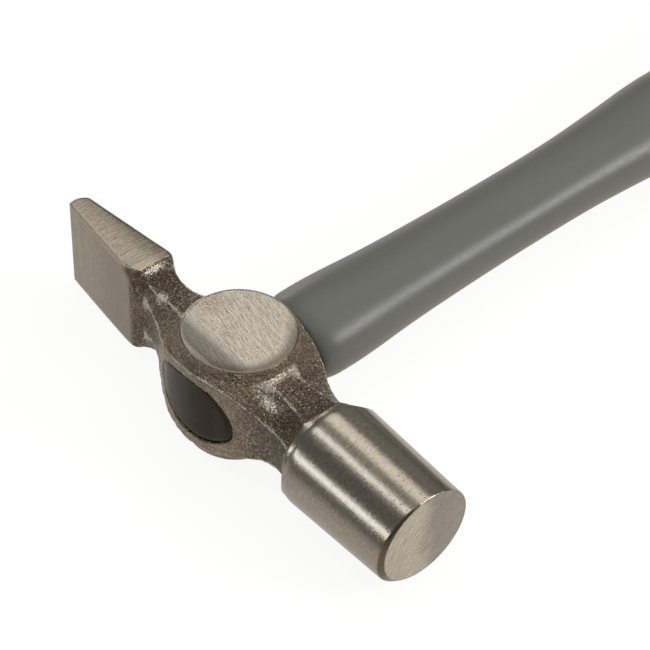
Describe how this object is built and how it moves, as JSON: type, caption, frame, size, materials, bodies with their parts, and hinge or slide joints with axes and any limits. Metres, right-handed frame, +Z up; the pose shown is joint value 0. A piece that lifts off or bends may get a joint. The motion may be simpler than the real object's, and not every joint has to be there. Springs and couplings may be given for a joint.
{
  "type": "cross peen hammer",
  "caption": "Light bench hammer with a round poll, an octagonal-necked forged head, a straight cross peen and a bonded fibreglass handle with a soft grip.",
  "frame": {"origin": "centre of the lower ground cheek, which is the face that the hammer rests on", "axes": "+X along the head towards the striking face, +Y along the handle away from the head, +Z up, the normal of the upper cheek"},
  "size_m": [0.1043, 0.3047, 0.0256],
  "materials": {
    "head_steel": "ground on the poll, peen and cheeks, raw forged skin between them, clear lacquer",
    "dark_resin": "gloss",
    "glass_fibre": "satin, with fibres along the rod",
    "grey_jacket": "satin with a fine moulded grain",
    "black_grip": "matt, ribbed"
  },
  "bodies": {
    "root": {"head": "head_steel", "eye_resin": "dark_resin", "fibreglass_core": "glass_fibre", "shaft_jacket": "grey_jacket", "grip_sleeve": "black_grip"}
  },
  "joints": []
}
